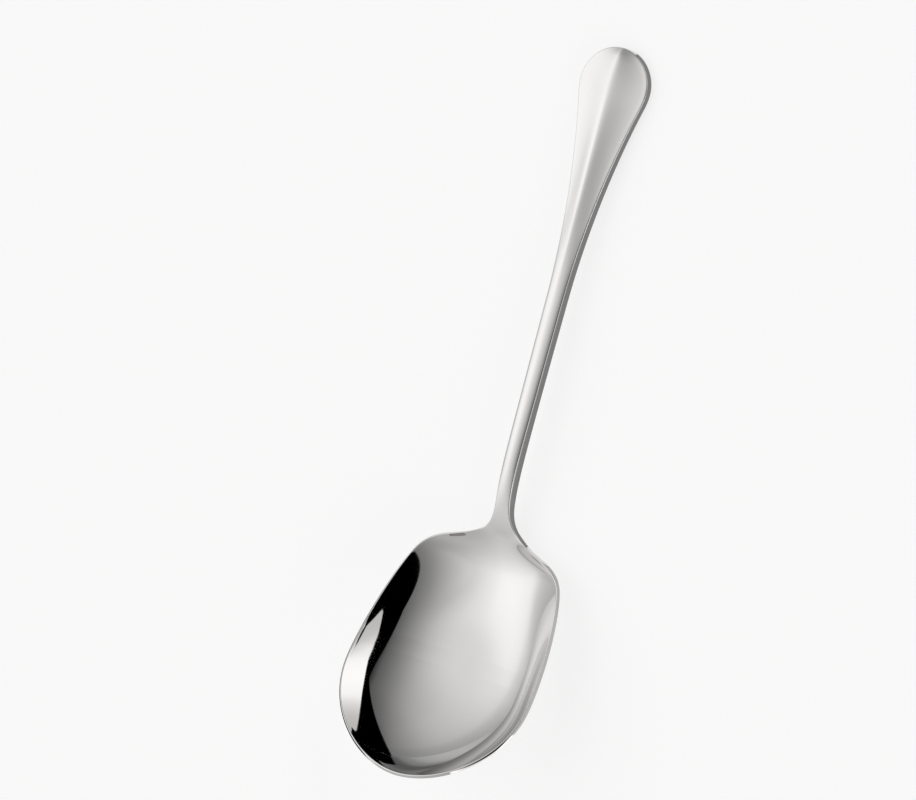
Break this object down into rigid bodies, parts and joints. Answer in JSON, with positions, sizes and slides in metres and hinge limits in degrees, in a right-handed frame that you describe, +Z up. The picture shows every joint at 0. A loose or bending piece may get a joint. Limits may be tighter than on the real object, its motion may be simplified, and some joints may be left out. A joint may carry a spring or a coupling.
{
  "type": "serving spoon",
  "caption": "Serving spoon in mirror-polished stainless steel, with a wide bowl, a thick straight shank and a ridged, rounded handle end.",
  "frame": {"origin": "lowest point of the belly, on the flat that the bowl rests on", "axes": "+Z up from the table, +Y along the spoon from the bowl's belly to the end of the handle, +X to the right as the bowl is looked into with the handle away"},
  "size_m": [0.0738, 0.2487, 0.0347],
  "materials": {
    "polished_steel": "mirror-polished stainless steel, not plated, with very fine polishing marks"
  },
  "bodies": {
    "root": {"bowl": "polished_steel", "neck_weld": "polished_steel", "handle": "polished_steel"}
  },
  "joints": []
}
